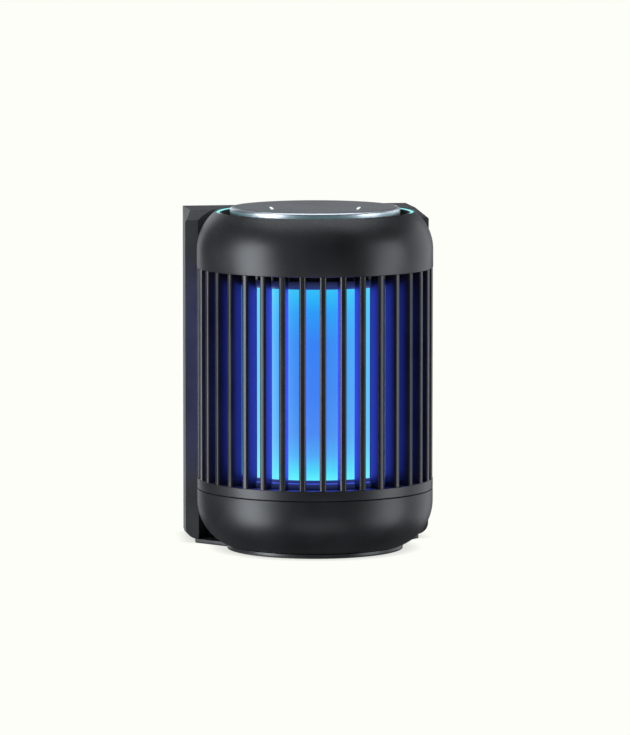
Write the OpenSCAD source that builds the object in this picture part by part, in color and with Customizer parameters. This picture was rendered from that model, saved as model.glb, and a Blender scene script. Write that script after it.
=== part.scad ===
// Electric bug zapper: a round battery lantern with a bladed guard, an ultraviolet light column
// and a shock grid, standing in a charging dock.
// Origin: the lantern's axis on the floor. The front faces -Y and +Z is up. Millimetres.

/* [Lantern body] */
// Outer radius of the cap, guard and tray
body_r = 59; // [58.6:0.1:59.4]
// Radius of the rounded shoulder and bowl
shoulder_r = 24; // [23.6:0.1:24.4]
// Wall of the moulded shells
wall = 2.4; // [2.2:0.1:2.6]
// Height of the parting line between tray and guard
part_z = 30.2; // [29.8:0.1:30.6]
// Height of the cap's lower edge
cap_z = 141; // [140.5:0.1:141.5]

/* [Guard] */
// Number of upright blades
fin_count = 36; // [24:12:36]
// Width of a blade
fin_w = 3.2; // [2.6:0.1:3.6]
// Depth of a blade towards the axis
fin_depth = 8; // [7:0.5:8]
// Bevel on a blade's outer edges
fin_bevel = 0.7; // [0.3:0.1:1]

/* [Light and grid] */
// Outer radius of the frosted light tube
tube_r = 39.5; // [38.5:0.1:39.6]
// Radius of the ring of shock wires
grid_r = 49.3; // [49:0.1:49.3]
// Diameter of a shock wire
wire_d = 1; // [0.8:0.1:1.2]

/* [Control disc] */
// Radius of the control disc with its trim
disc_r = 42.5; // [41:0.5:43]
// Height of the disc's top face
disc_top_z = 171.2; // [171:0.1:171.6]
// Travel of the disc when pressed
press_travel = 1.2; // [0.8:0.1:1.2]

/* [Dock] */
// Half of the dock's width at its front face
dock_half = 62; // [61.5:0.5:64]
// Half of the dock's width at its back face
dock_back_half = 57.4; // [57:0.1:59]
// Distance of the front face behind the lantern's axis
dock_front_y = 25; // [23:0.5:28]
// Height of the dock
dock_h = 167; // [165:0.5:170]
// Clearance between the lantern and the dock's hollow
recess_gap = 1.8; // [1.4:0.1:2]
// Spacing of the two wall screws
screw_spacing = 80; // [70:5:85]
// Radius of a wall screw's hole
screw_hole_r = 2.25; // [2:0.05:2.5]

/* [Hidden] */
$fn = 96;

// Overshoot of a cut past a face, and the gap kept between moving bodies
cut = 1;
gap = 0.3;
small_fn = 24;

// Lantern shells
fin_pitch = 360 / fin_count;
arc_r = body_r - shoulder_r;
inner_arc = shoulder_r - wall;
foot_r = 44;
foot_ring_r = 42.5;
foot_ring_in = 39.5;
tray_z = 2.6;
bowl_arc_z = tray_z - 0.6 + sqrt(pow(shoulder_r, 2) - pow(foot_r - arc_r, 2));
tray_floor_z = tray_z + wall;
neck_r = 54;
neck_in_r = 51.5;
neck_top_z = part_z + 3.4;
seal_z = part_z + 2.1;
seal_r = 53.35;
seal_d = 1.6;
band_z = part_z + gap;
flange_z = neck_top_z + 0.4;
fin_z = flange_z + 1.5;
fin_in_r = body_r - fin_depth;
flange_in_r = 48.6;
cap_arc_z = cap_z + 9;
cap_in_r = body_r - wall;
rim_r = 49.5;

// Light column and grid
seat_r = 40;
hub_in_r = 30;
seat_z = fin_z;
seat_top_z = fin_z + 3;
groove_depth = 1.6;
tube_wall = 2;
lamp_cap_z = 133.3;
bulkhead_z = 138;
column_r = 9;
column_z = seat_z + 1.4;
column_top_z = bulkhead_z - 1.2;
strip_z = 46;
strip_h = 82;
strip_w = 6;
chips = 12;
chip_w = 3.5;
ring_w = 2.8;
ring_h = 2.5;
spoke_w = 4;
spokes = 6;

// Inside the cap
floor_t = 2.6;
dish_floor_z = bulkhead_z + floor_t;
dish_r = 48.8;
top_ring_z = cap_z;
top_ring_h = 2.5;
bulkhead_top_z = top_ring_z + top_ring_h;
flange_r = 56.2;
flange_t = 2;
bulkhead_screw_r = 53;
cell_r = 9.2;
cell_l = 65;
cell_y = 9.6;
cell_z = dish_floor_z + 1.2 + cell_r;
coil = [16, 14, 13];
coil_y = 24;
board_z = 161;
board_t = 1.6;
board_r = 47;
post_r = 43;
ledge_z = board_z + board_t + 0.2;
well_z = ledge_z + 1.4;
well_t = 1.2;
well_hole_r = 6;
ledge_r = 45;
well_r = 47.6;
light_ring_r = 49.3;
light_ring_in = 47.8;
light_ring_top = 168.9;

// Control disc
trim_w = 1.8;
trim_bevel = 1.4;
skirt_z = 167.2;
disc_under_z = well_z + 3.6 + press_travel;
plunger_r = 4;
plunger_z = disc_under_z - 2.3;
mark = [1.2, 12, 0.15];
mark_at = [21.6, -10];
mark_lean = 5;
marks_turn = -9;
spring_r = 10;
spring_wire = 0.45;
spring_turns = 4;

// Dock
dock_back_y = 68;
cover_t = 2.8;
shell_back_y = dock_back_y - cover_t;
recess_r = body_r + recess_gap;
dock_wall = 2.6;
bevel_rise = 4;
bevel_run = 14;
side_cut = 4.6;
corner_r = 6;
pad_t = 0.8;
base_top_z = 2;
base_inset = 5;
cover_half = 50;
cover_margin = 4;
cover_screw_x = 44;
cover_head_r = 3;
cover_pilot_r = 1.3;
wing_x_in = 30;
wing_x_out = 53.6;
wing_z = 9;
wing_top_z = 152;
pin_z = 147;
pin_x = 5;
pin_r = 1.05;
pin_block = [18, 5, 8];
magnet_z = 150.5;
magnet_angle = 24;
magnet_r = 5;
magnet_t = 3;
wall_screw_z = 45;
port_y = 50;
port_z = 24;
taper = atan((dock_half - dock_back_half) / (dock_back_y - dock_front_y));
port_x = dock_half - (port_y - dock_front_y) * tan(taper);
hinge_x = -0.9;
hinge_y = 6.8;
flap = [1.2, 14, 7.4];
knuckle_r = 1.1;
flap_pin_r = 0.6;
port_board = [8.6, 15.5, 1.5];
port_board_at = [-12.6, -5, -3.3];
base_screw_at = [[-48, 38], [48, 38], [-34, 61.5], [34, 61.5]];

// Ring with a rectangular section
module ring(r_out, r_in, z, h) {
    translate([0, 0, z]) difference() {
        cylinder(r = r_out, h = h);
        translate([0, 0, -cut]) cylinder(r = r_in, h = h + 2 * cut);
    }
}

// Points of an arc, from angle a to angle b
function arc(c, r, a, b, steps = 16) = [
    for (i = [0:steps]) let (t = a + (b - a) * i / steps) [c[0] + r * cos(t), c[1] + r * sin(t)]
];

// Repeats its children round the axis
module around(n, phase = 0) {
    for (i = [0:n - 1]) rotate([0, 0, phase + 360 * i / n]) children();
}

// ---- Dock ----

module dock_outline() {
    polygon([
        [-dock_half, dock_front_y],
        [dock_half, dock_front_y],
        [dock_back_half, dock_back_y],
        [-dock_back_half, dock_back_y]
    ]);
}

// Front elevation: cut top corners and round lower corners
module dock_elevation() {
    low = base_top_z + corner_r;
    polygon([
        [-dock_half - cut, low],
        [dock_half + cut, low],
        [dock_half + cut, dock_h - side_cut - cut],
        [dock_half - side_cut, dock_h],
        [-dock_half + side_cut, dock_h],
        [-dock_half - cut, dock_h - side_cut - cut]
    ]);
    for (s = [-1, 1]) translate([s * (dock_half - corner_r), low]) circle(corner_r);
    translate([-dock_half + corner_r, base_top_z]) square([2 * (dock_half - corner_r), corner_r + cut]);
}

// Side elevation: sloping front edge at the top
module dock_side() {
    polygon([
        [dock_front_y, base_top_z],
        [dock_back_y, base_top_z],
        [dock_back_y, dock_h],
        [dock_front_y + bevel_run, dock_h],
        [dock_front_y, dock_h - bevel_rise]
    ]);
}

module dock_block() {
    intersection() {
        translate([0, 0, base_top_z]) linear_extrude(dock_h - base_top_z) dock_outline();
        translate([0, dock_back_y + cut, 0]) rotate([90, 0, 0])
            linear_extrude(dock_back_y) dock_elevation();
        translate([-dock_half - cut, 0, 0]) rotate([90, 0, 90])
            linear_extrude(2 * (dock_half + cut)) dock_side();
    }
}

// Hollow of one wing, open to the back
module wing_cavity(s) {
    difference() {
        translate([s > 0 ? wing_x_in : -wing_x_out, dock_front_y + dock_wall, wing_z])
            cube([wing_x_out - wing_x_in, dock_back_y, wing_top_z - wing_z]);
        cylinder(r = recess_r + dock_wall, h = dock_h);
    }
}

module at_cover_screws() {
    for (x = [-cover_screw_x, cover_screw_x]) for (z = [wing_z - 0.5, dock_h - 9])
        translate([x, dock_back_y, z]) rotate([90, 0, 0]) children();
}

module at_wall_screws() {
    for (z = [wall_screw_z, wall_screw_z + screw_spacing])
        translate([0, dock_back_y + cut, z]) rotate([90, 0, 0]) children();
}

// Frame of the charging port: +X points out of the dock's right side
module at_port() {
    translate([port_x, port_y, port_z]) rotate([0, 0, taper]) children();
}

module at_base_screws() {
    for (p = base_screw_at) translate([p[0], p[1], 0]) children();
}

module dock_shell() {
    color([0.18, 0.18, 0.19]) difference() {
        dock_block();
        translate([0, 0, -cut]) cylinder(r = recess_r, h = dock_h + 2 * cut);
        translate([-cover_half, shell_back_y, cover_margin])
            cube([2 * cover_half, cover_t + cut, dock_h - 2 * cover_margin]);
        for (s = [-1, 1]) intersection() {
            wing_cavity(s);
            translate([-cover_half, 0, 0]) cube([2 * cover_half, dock_back_y, dock_h]);
        }
        at_cover_screws() cylinder(r = cover_pilot_r, h = 12, $fn = small_fn);
        at_wall_screws() cylinder(r = screw_hole_r, h = 12);
        translate([-pin_block.x / 2 - 0.1, body_r, pin_z - pin_block.z / 2 - 0.1])
            cube(pin_block + [0.2, 3, 0.2]);
        for (s = [-1, 1]) rotate([0, 0, 90 + s * magnet_angle])
            translate([recess_r + 1.2, 0, magnet_z]) rotate([0, 90, 0]) cylinder(r = magnet_r + 0.1, h = 20);
        at_port() {
            translate([-14, -4.7, -1.8]) cube([15, 9.4, 3.6]);
            translate(port_board_at - 0.2 * [1, 1, 1]) cube(port_board + 0.4 * [1, 1, 1]);
            translate([-1.5, -7.8, -4]) cube([3, 14, 8]);
            translate([-2.5, 5.3, -4]) cube([4, 3, 8]);
            translate([hinge_x, hinge_y, -5.5]) cylinder(r = flap_pin_r + 0.02, h = 11, $fn = small_fn);
        }
        at_base_screws() cylinder(r = 1.1, h = 7.5, $fn = small_fn);
    }
}

module dock_back_cover() {
    color([0.14, 0.14, 0.15]) difference() {
        translate([-cover_half + 0.2, shell_back_y + 0.1, cover_margin + 0.2])
            cube([2 * cover_half - 0.4, cover_t - 0.1, dock_h - 2 * cover_margin - 0.4]);
        at_cover_screws() cylinder(r = cover_pilot_r + 0.2, h = 12, $fn = small_fn);
        translate([0, cut, 0]) at_cover_screws()
            cylinder(r = cover_head_r + 0.2, h = 1.3 + cut, $fn = small_fn);
        at_wall_screws() cylinder(r = screw_hole_r, h = 12);
    }
}

module dock_cover_screws() {
    color([0.25, 0.25, 0.26]) at_cover_screws() {
        translate([0, 0, 0.1]) cylinder(r = cover_head_r, h = 1.1, $fn = small_fn);
        translate([0, 0, 1]) cylinder(r = cover_pilot_r - 0.1, h = 9, $fn = small_fn);
    }
}

module dock_magnets() {
    color("silver") for (s = [-1, 1]) rotate([0, 0, 90 + s * magnet_angle])
        translate([recess_r + 1.3, 0, magnet_z]) rotate([0, 90, 0]) cylinder(r = magnet_r, h = magnet_t);
}

module dock_pin_block() {
    color([0.1, 0.1, 0.1]) difference() {
        translate([-pin_block.x / 2, body_r + 1, pin_z - pin_block.z / 2]) cube(pin_block);
        for (s = [-1, 1]) translate([s * pin_x, body_r, pin_z]) rotate([-90, 0, 0])
            cylinder(r = pin_r + 0.1, h = 8, $fn = small_fn);
    }
}

module dock_contact_pins() {
    color("gold") for (s = [-1, 1]) translate([s * pin_x, body_r + gap, pin_z]) rotate([-90, 0, 0])
        cylinder(r = pin_r, h = 5, $fn = small_fn);
}

module dock_board() {
    color([0.1, 0.35, 0.2]) at_port() translate(port_board_at) cube(port_board);
}

module dock_port() {
    at_port() {
        color("silver") difference() {
            translate([-9.6, -4.5, -1.7]) cube([7.8, 9, 3.3]);
            translate([-8.6, -4.1, -1.3]) cube([8, 8.2, 2.5]);
        }
        color([0.1, 0.1, 0.1]) translate([-8.6, -3, -0.4]) cube([5.6, 6, 0.7]);
    }
}

module port_flap() {
    color([0.09, 0.09, 0.1]) at_port() difference() {
        union() {
            translate([-flap.x, -7.5, -flap.z / 2]) cube(flap);
            translate([hinge_x, hinge_y, -flap.z / 2]) cylinder(r = knuckle_r, h = flap.z, $fn = 32);
        }
        translate([hinge_x, hinge_y, -5]) cylinder(r = flap_pin_r + 0.05, h = 10, $fn = 32);
    }
}

module flap_pin() {
    color("silver") at_port() translate([hinge_x, hinge_y, -5.3])
        cylinder(r = flap_pin_r, h = 10.6, $fn = 32);
}

// Base sheet: narrower than the dock behind, round in front under the lantern
module base_sheet(z, h) {
    translate([0, 0, z]) union() {
        cylinder(r = foot_r, h = h);
        linear_extrude(h) polygon([
            [-foot_r * 0.98, foot_r * 0.19],
            [-dock_half + base_inset, dock_front_y],
            [-dock_back_half + base_inset, dock_back_y],
            [dock_back_half - base_inset, dock_back_y],
            [dock_half - base_inset, dock_front_y],
            [foot_r * 0.98, foot_r * 0.19]
        ]);
    }
}

module base_plate() {
    color([0.2, 0.2, 0.21]) difference() {
        base_sheet(pad_t, base_top_z - pad_t);
        at_base_screws() cylinder(r = 1.3, h = 4, $fn = small_fn);
    }
}

module base_pad() {
    color([0.08, 0.08, 0.08]) difference() {
        base_sheet(0, pad_t);
        translate([0, 0, -cut]) at_base_screws() cylinder(r = 2.7, h = 4, $fn = small_fn);
    }
}

module base_screws() {
    color([0.3, 0.3, 0.3]) at_base_screws() {
        translate([0, 0, 0.2]) cylinder(r = 2.4, h = pad_t - 0.2, $fn = small_fn);
        translate([0, 0, 0.5]) cylinder(r = 1.05, h = 6.6, $fn = small_fn);
    }
}

// ---- Tray ----

module tray_bowl() {
    low = asin((tray_z - bowl_arc_z) / shoulder_r);
    in_low = asin((tray_floor_z - bowl_arc_z) / inner_arc);
    color([0.18, 0.18, 0.19]) difference() {
        rotate_extrude() polygon(concat(
            [[0, tray_z]],
            arc([arc_r, bowl_arc_z], shoulder_r, low, 0),
            [[body_r, part_z], [neck_r, part_z], [neck_r, neck_top_z],
             [neck_in_r, neck_top_z], [neck_in_r, part_z - 0.8], [cap_in_r - 0.4, bowl_arc_z + 1.6]],
            arc([arc_r, bowl_arc_z], inner_arc, 0, in_low),
            [[0, tray_floor_z]]
        ));
        ring(neck_r + cut, 52.5, seal_z - 1, 2);
        ring(foot_ring_r + 0.1, foot_ring_in - 0.1, tray_z - cut, 0.9 + cut);
    }
}

module tray_seal() {
    color([0.6, 0.15, 0.1]) translate([0, 0, seal_z]) rotate_extrude()
        translate([seal_r, 0]) circle(d = seal_d);
}

module tray_foot() {
    color([0.06, 0.06, 0.06]) ring(foot_ring_r, foot_ring_in, tray_z - gap, 1.1);
}

// ---- Guard ----

module guard_band() {
    color([0.18, 0.18, 0.19]) {
        rotate_extrude() polygon([
            [body_r, band_z], [body_r, fin_z], [flange_in_r, fin_z],
            [flange_in_r, flange_z], [neck_r + gap, flange_z], [neck_r + gap, band_z]
        ]);
        ring(seat_r, hub_in_r, flange_z, fin_z - flange_z);
        around(spokes, 90) translate([seat_r - 2, -spoke_w / 2, flange_z])
            cube([flange_in_r - seat_r + 3, spoke_w, fin_z - flange_z]);
    }
}

module fin_outline() {
    polygon([
        [fin_in_r, -fin_w / 2 + 0.4],
        [body_r - fin_bevel, -fin_w / 2],
        [body_r, -fin_w / 2 + fin_bevel],
        [body_r, fin_w / 2 - fin_bevel],
        [body_r - fin_bevel, fin_w / 2],
        [fin_in_r, fin_w / 2 - 0.4]
    ]);
}

module guard_fins() {
    color([0.2, 0.2, 0.21]) difference() {
        around(fin_count, fin_pitch / 2) translate([0, 0, fin_z])
            linear_extrude(cap_z - fin_z) fin_outline();
        at_bulkhead_screws() cylinder(r = 1, h = 20, $fn = small_fn);
    }
}

module guard_top_ring() {
    color([0.18, 0.18, 0.19]) difference() {
        ring(flange_r, dish_r + 0.2, top_ring_z, top_ring_h);
        at_bulkhead_screws() cylinder(r = 1.3, h = 20, $fn = small_fn);
    }
}

// ---- Grid and light ----

module grid_ring(z) {
    color([0.75, 0.75, 0.72]) ring(grid_r + ring_w / 2, grid_r - ring_w / 2, z, ring_h);
}

module grid_ring_lower() { grid_ring(fin_z); }

module grid_ring_upper() { grid_ring(bulkhead_z - ring_h); }

// Every second wire, so that neighbours have opposite polarity
module grid_wires(phase) {
    color("silver") around(fin_count / 2, phase) translate([grid_r, 0, fin_z + 1])
        cylinder(d = wire_d, h = bulkhead_z - fin_z - 2, $fn = small_fn);
}

module grid_wires_live() { grid_wires(fin_pitch / 2); }

module grid_wires_return() { grid_wires(1.5 * fin_pitch); }

module column_hex(r, z, h) {
    translate([0, 0, z]) cylinder(r = r, h = h, $fn = 6);
}

module lamp_seat() {
    color([0.2, 0.2, 0.21]) difference() {
        translate([0, 0, seat_z]) cylinder(r = seat_r, h = seat_top_z - seat_z);
        ring(tube_r + 0.1, tube_r - tube_wall - 0.1, seat_top_z - groove_depth, groove_depth + cut);
        column_hex(column_r + 0.15, column_z, 10);
    }
}

module lamp_tube() {
    color([0.25, 0.6, 1]) ring(
        tube_r, tube_r - tube_wall, seat_top_z - groove_depth,
        lamp_cap_z - seat_top_z + 2 * groove_depth
    );
}

module lamp_cap() {
    color([0.2, 0.2, 0.21]) difference() {
        translate([0, 0, lamp_cap_z]) cylinder(r = seat_r + 0.4, h = bulkhead_z - lamp_cap_z);
        ring(tube_r + 0.1, tube_r - tube_wall - 0.1, lamp_cap_z - cut, groove_depth + cut);
        column_hex(column_r + 0.15, lamp_cap_z - cut, column_top_z - lamp_cap_z + cut);
    }
}

module led_column() {
    color("silver") column_hex(column_r, column_z, column_top_z - column_z);
}

module led_strips() {
    face = column_r * cos(30);
    color([0.9, 0.9, 0.85]) around(6, 30) {
        translate([face, -strip_w / 2, strip_z]) cube([1, strip_w, strip_h]);
        for (i = [0:chips - 1])
            translate([face + 0.9, -chip_w / 2, strip_z + 2 + i * (strip_h - chip_w - 4) / (chips - 1)])
                cube([0.9, chip_w, chip_w]);
    }
}

// ---- Inside the cap ----

module at_bulkhead_screws() {
    around(6, fin_pitch / 2) translate([bulkhead_screw_r, 0, cap_z - 8]) children();
}

module at_board_posts() {
    around(4, 45) translate([post_r, 0, 0]) children();
}

module cap_bulkhead() {
    color([0.3, 0.3, 0.31]) {
        difference() {
            rotate_extrude() polygon([
                [0, bulkhead_z], [dish_r, bulkhead_z], [dish_r, bulkhead_top_z], [flange_r, bulkhead_top_z],
                [flange_r, bulkhead_top_z + flange_t], [dish_r - 2, bulkhead_top_z + flange_t],
                [dish_r - 2, dish_floor_z], [0, dish_floor_z]
            ]);
            at_bulkhead_screws() cylinder(r = 1.3, h = 20, $fn = small_fn);
        }
        at_board_posts() difference() {
            translate([0, 0, dish_floor_z - 0.5]) cylinder(r = 2.8, h = board_z - dish_floor_z + 0.5);
            translate([0, 0, board_z - 8]) cylinder(r = 1.1, h = 10, $fn = small_fn);
        }
    }
}

module bulkhead_screws() {
    color([0.3, 0.3, 0.3]) at_bulkhead_screws() {
        translate([0, 0, 1]) cylinder(r = 0.95, h = bulkhead_top_z + flange_t - cap_z + 7.5, $fn = small_fn);
        translate([0, 0, bulkhead_top_z + flange_t - cap_z + 8]) cylinder(r = 2, h = 1.2, $fn = small_fn);
    }
}

module cells(r, l) {
    for (s = [-1, 1]) translate([-l / 2, s * cell_y, cell_z]) rotate([0, 90, 0]) cylinder(r = r, h = l);
}

module battery_cells() {
    color([0.2, 0.5, 0.75]) cells(cell_r, cell_l);
}

module battery_holder() {
    color([0.12, 0.12, 0.12]) difference() {
        translate([-cell_l / 2 - 2.5, -2 * cell_y, dish_floor_z]) cube([cell_l + 5, 4 * cell_y, 6]);
        cells(cell_r + 0.15, cell_l + 0.4);
    }
}

module high_voltage_coil() {
    color([0.8, 0.7, 0.2]) {
        translate([-coil.x / 2, coil_y, dish_floor_z]) cube([coil.x, coil.y, 3]);
        translate([-coil.x / 2 + 1.5, coil_y + 1.5, dish_floor_z + 3])
            cube([coil.x - 3, coil.y - 3, coil.z - 5]);
        translate([-coil.x / 2, coil_y, dish_floor_z + coil.z - 2]) cube([coil.x, coil.y, 2]);
    }
}

module main_board() {
    color([0.1, 0.35, 0.2]) difference() {
        translate([0, 0, board_z]) cylinder(r = board_r, h = board_t);
        translate([0, 0, board_z - cut]) at_board_posts() cylinder(r = 1.3, h = 5, $fn = small_fn);
    }
}

module board_screws() {
    color([0.3, 0.3, 0.3]) at_board_posts() {
        translate([0, 0, board_z - 6]) cylinder(r = 1.05, h = board_t + 6.5, $fn = small_fn);
        translate([0, 0, board_z + board_t]) cylinder(r = 1.9, h = 1.1, $fn = small_fn);
    }
}

module button_switch() {
    color([0.1, 0.1, 0.1]) {
        translate([-3, -3, board_z + board_t]) cube([6, 6, 1.9]);
        translate([0, 0, board_z + board_t + 1.9]) cylinder(r = 1.6, h = 0.7);
    }
}

module top_cap() {
    rim_top = acos((rim_r - arc_r) / shoulder_r);
    rim_in = acos((rim_r - arc_r) / inner_arc);
    ledge_a = asin((well_z - cap_arc_z) / inner_arc);
    ledge_b = asin((ledge_z - cap_arc_z) / inner_arc);
    color([0.18, 0.18, 0.19]) difference() {
        rotate_extrude() polygon(concat(
            [[cap_in_r, cap_z], [body_r, cap_z]],
            arc([arc_r, cap_arc_z], shoulder_r, 0, rim_top),
            arc([arc_r, cap_arc_z], inner_arc, rim_in, ledge_a, 2),
            [[ledge_r, well_z], [ledge_r, ledge_z]],
            arc([arc_r, cap_arc_z], inner_arc, ledge_b, 0)
        ));
        for (s = [-1, 1]) translate([s * pin_x, cap_in_r - 2, pin_z]) rotate([-90, 0, 0])
            cylinder(r = 2.3, h = 8, $fn = 32);
    }
}

module contact_pads() {
    color("gold") for (s = [-1, 1]) translate([s * pin_x, cap_in_r - 0.2, pin_z]) rotate([-90, 0, 0])
        cylinder(r = 2.2, h = wall - 0.1, $fn = 32);
}

module holding_plates() {
    color("silver") for (s = [-1, 1]) rotate([0, 0, 90 + s * magnet_angle])
        translate([cap_in_r - 2.2, 0, magnet_z + 0.5]) rotate([0, 90, 0]) cylinder(r = 4.2, h = 1);
}

module disc_well() {
    color([0.05, 0.05, 0.06]) rotate_extrude() polygon([
        [well_hole_r, well_z], [well_r, well_z], [well_r, light_ring_top - 0.5],
        [well_r - well_t, light_ring_top - 0.5], [well_r - well_t, well_z + well_t],
        [well_hole_r, well_z + well_t]
    ]);
}

module light_ring() {
    color([0.6, 0.95, 0.95]) ring(light_ring_r, light_ring_in, well_z + 1.2, light_ring_top - well_z - 1.2);
}

module ring_led_board() {
    color([0.9, 0.9, 0.9]) ring(light_ring_r, light_ring_in, well_z, 1.1);
}

// ---- Control disc ----

// The spring's coils, drawn as level rings between the well and the disc
module return_spring() {
    low = well_z + well_t + spring_wire;
    high = disc_under_z - spring_wire;
    color("silver") for (i = [0:spring_turns - 1])
        translate([0, 0, low + (high - low) * i / (spring_turns - 1)])
            rotate_extrude() translate([spring_r, 0]) circle(spring_wire);
}

module control_disc() {
    edge = disc_r - trim_w;
    color([0.35, 0.37, 0.4]) rotate_extrude() polygon([
        [0, plunger_z], [plunger_r, plunger_z], [plunger_r, disc_under_z], [edge, disc_under_z],
        [edge, disc_top_z - 0.2], [edge - 0.2, disc_top_z], [0, disc_top_z]
    ]);
}

module disc_trim() {
    edge = disc_r - trim_w + 0.05;
    color([0.75, 0.77, 0.8]) rotate_extrude() polygon([
        [edge, skirt_z], [disc_r, skirt_z], [disc_r, disc_top_z - 0.1 - trim_bevel],
        [disc_r - trim_bevel, disc_top_z - 0.1], [edge, disc_top_z - 0.1]
    ]);
}

module indicator_bars() {
    color("white") rotate([0, 0, marks_turn]) for (s = [-1, 1])
        translate([s * mark_at.x, mark_at.y, disc_top_z]) rotate([0, 0, -s * mark_lean])
            translate([-mark.x / 2, -mark.y / 2, 0]) cube(mark);
}

dock_shell();
dock_back_cover();
dock_magnets();
dock_contact_pins();
dock_pin_block();
dock_board();
dock_port();
dock_cover_screws();
base_plate();
base_pad();
base_screws();
port_flap();
flap_pin();
tray_bowl();
tray_seal();
tray_foot();
guard_band();
guard_fins();
guard_top_ring();
grid_ring_lower();
grid_ring_upper();
grid_wires_live();
grid_wires_return();
lamp_seat();
lamp_tube();
lamp_cap();
led_column();
led_strips();
cap_bulkhead();
bulkhead_screws();
battery_cells();
battery_holder();
high_voltage_coil();
main_board();
board_screws();
button_switch();
top_cap();
contact_pads();
holding_plates();
disc_well();
light_ring();
ring_led_board();
return_spring();
control_disc();
disc_trim();
indicator_bars();
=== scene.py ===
"""Looks of the electric bug zapper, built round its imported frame."""

import logging
import math
from dataclasses import dataclass
from enum import Enum
from typing import Callable, Iterable, Protocol

import bmesh
import bpy
from mathutils import Matrix, Vector


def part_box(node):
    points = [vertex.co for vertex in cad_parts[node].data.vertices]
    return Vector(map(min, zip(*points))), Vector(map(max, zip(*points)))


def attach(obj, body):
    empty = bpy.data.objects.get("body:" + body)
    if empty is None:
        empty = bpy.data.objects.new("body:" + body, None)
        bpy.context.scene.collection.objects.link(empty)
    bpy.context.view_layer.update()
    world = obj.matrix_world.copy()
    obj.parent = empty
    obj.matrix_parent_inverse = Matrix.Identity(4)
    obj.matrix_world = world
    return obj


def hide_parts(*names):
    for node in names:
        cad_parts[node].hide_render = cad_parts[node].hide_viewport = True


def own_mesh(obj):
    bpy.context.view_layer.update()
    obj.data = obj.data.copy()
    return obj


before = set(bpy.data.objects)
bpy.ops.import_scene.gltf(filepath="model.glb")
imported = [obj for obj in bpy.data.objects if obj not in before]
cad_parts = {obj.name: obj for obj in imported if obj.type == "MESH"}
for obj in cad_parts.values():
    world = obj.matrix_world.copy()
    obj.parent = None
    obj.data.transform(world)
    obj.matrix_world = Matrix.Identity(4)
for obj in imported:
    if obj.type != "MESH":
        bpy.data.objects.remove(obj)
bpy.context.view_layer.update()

LOG = logging.getLogger("bug_zapper")
MM = 0.001

Colour = tuple[float, float, float]
Point = tuple[float, float]


def screen(red: int, green: int, blue: int) -> Colour:
    """Turns an 8-bit display colour into a linear one.

    Args:
        red: Red from 0 to 255.
        green: Green from 0 to 255.
        blue: Blue from 0 to 255.

    Returns:
        The linear colour.
    """
    def linear(value: int) -> float:
        """Undoes the display curve of one channel."""
        part = value / 255
        return part / 12.92 if part <= 0.04045 else ((part + 0.055) / 1.055) ** 2.4
    return linear(red), linear(green), linear(blue)


# ---------------------------------------------------------------- node trees


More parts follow.
